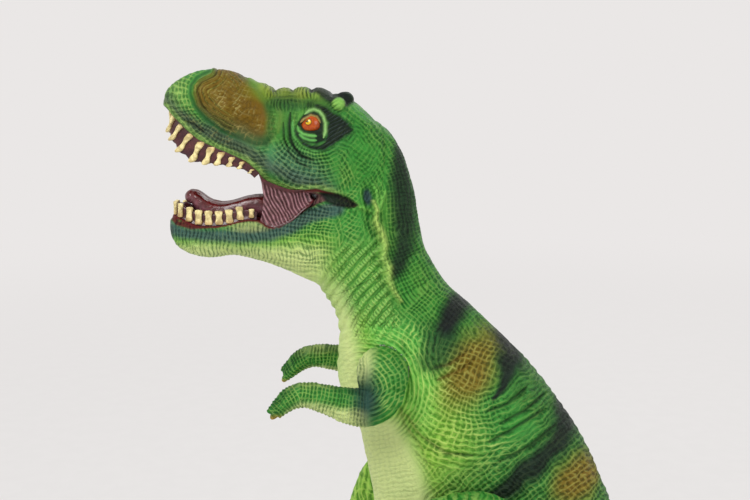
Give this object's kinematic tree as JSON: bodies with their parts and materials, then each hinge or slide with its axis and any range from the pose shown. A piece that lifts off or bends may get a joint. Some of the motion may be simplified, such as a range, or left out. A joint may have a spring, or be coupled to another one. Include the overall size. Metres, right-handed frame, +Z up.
{
  "type": "toy dinosaur figure",
  "caption": "Upright hollow vinyl tyrannosaur figure with open toothed jaws, swivelling arms and legs, standing on two feet and its tail.",
  "frame": {"origin": "on the floor, below the middle of the figure's overall box", "axes": "+Z up, -X the way the figure faces, +Y towards the figure's right side"},
  "size_m": [0.6406, 0.2446, 0.6401],
  "materials": {
    "skin": "soft vinyl, satin, with moulded scales and sprayed stripes",
    "teeth": "painted cream teeth on a maroon gum",
    "mouth": "glossy maroon paint over moulded folds",
    "eye": "glossy amber enamel",
    "plug": "plain moulded plastic"
  },
  "bodies": {
    "root": {"torso_shell": "skin", "head_shell": "skin", "tail_shell": "skin", "upper_teeth": "teeth", "lower_teeth": "teeth", "mouth_lining": "mouth", "tongue": "mouth", "eye_left": "eye", "eye_right": "eye"},
    "arm_left": {"arm_left_shell": "skin", "arm_left_plug": "plug"},
    "arm_right": {"arm_right_shell": "skin", "arm_right_plug": "plug"},
    "leg_left": {"leg_left_shell": "skin", "leg_left_plug": "plug"},
    "leg_right": {"leg_right_shell": "skin", "leg_right_plug": "plug"}
  },
  "joints": [
    {"name": "shoulder_left", "type": "hinge", "parent": "root", "child": "arm_left", "pos_m": [-0.14375, -0.06, 0.40192], "axis": [0, 1, 0], "range_deg": [-35, 50]},
    {"name": "shoulder_right", "type": "hinge", "parent": "root", "child": "arm_right", "pos_m": [-0.14375, 0.06, 0.40192], "axis": [0, 1, 0], "range_deg": [-35, 50]},
    {"name": "hip_left", "type": "hinge", "parent": "root", "child": "leg_left", "pos_m": [-0.05475, -0.07, 0.24512], "axis": [0, 1, 0], "range_deg": [-20, 30]},
    {"name": "hip_right", "type": "hinge", "parent": "root", "child": "leg_right", "pos_m": [-0.05475, 0.07, 0.24512], "axis": [0, 1, 0], "range_deg": [-20, 30]}
  ]
}
